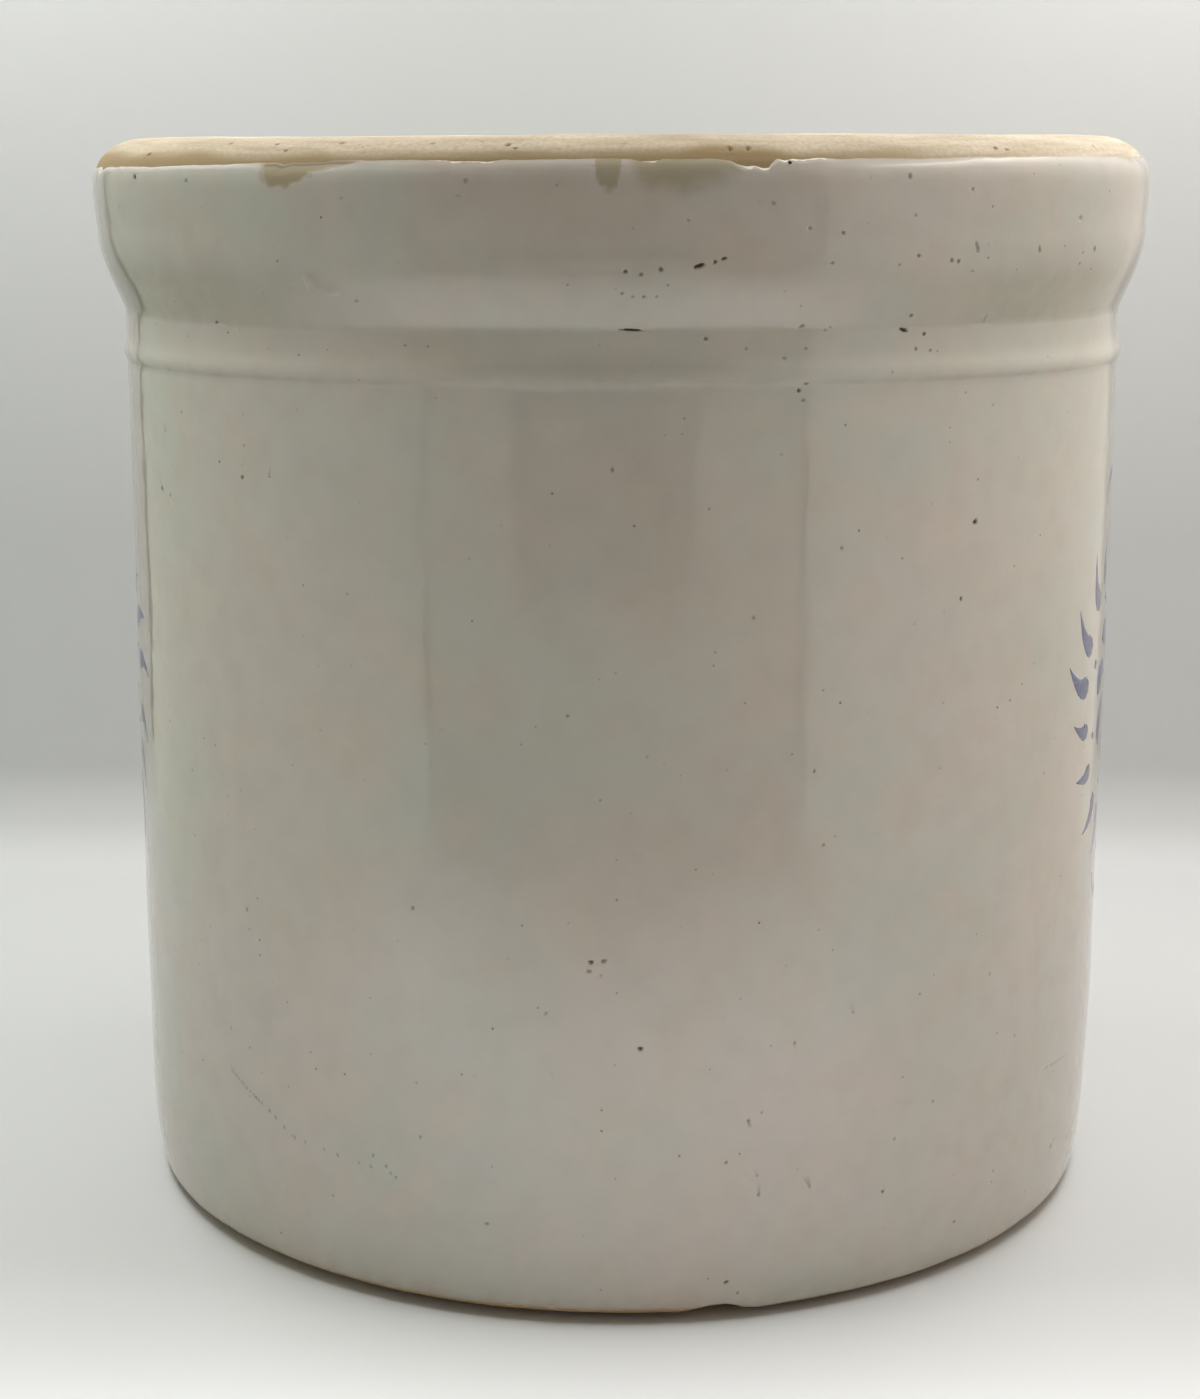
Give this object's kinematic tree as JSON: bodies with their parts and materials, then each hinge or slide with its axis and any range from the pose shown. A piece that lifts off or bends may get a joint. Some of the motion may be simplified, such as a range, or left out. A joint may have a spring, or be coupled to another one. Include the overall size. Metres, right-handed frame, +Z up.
{
  "type": "stoneware crock",
  "caption": "Straight-sided open stoneware crock with a rolled bare-clay rim, a bead below it, a drawn-in heel and pale gloss glaze inside and out, for storing and fermenting food.",
  "frame": {"origin": "centre of the foot, on the surface that the crock stands on", "axes": "+Z up along the crock's axis; -Y towards the picture's camera; +X to the camera's right"},
  "size_m": [0.2422, 0.2422, 0.245],
  "materials": {
    "bare_stoneware": "buff fired clay, matt, wiped bare on the rim top, the foot and the underside",
    "outside_glaze": "pale warm grey gloss glaze with pinholes, pits and thin tan places at its edges, and cobalt blue brushwork on two sides",
    "inside_glaze": "pale warm grey gloss glaze"
  },
  "bodies": {
    "root": {"stoneware_body": "bare_stoneware", "outer_glaze": "outside_glaze", "inner_glaze": "inside_glaze"}
  },
  "joints": []
}
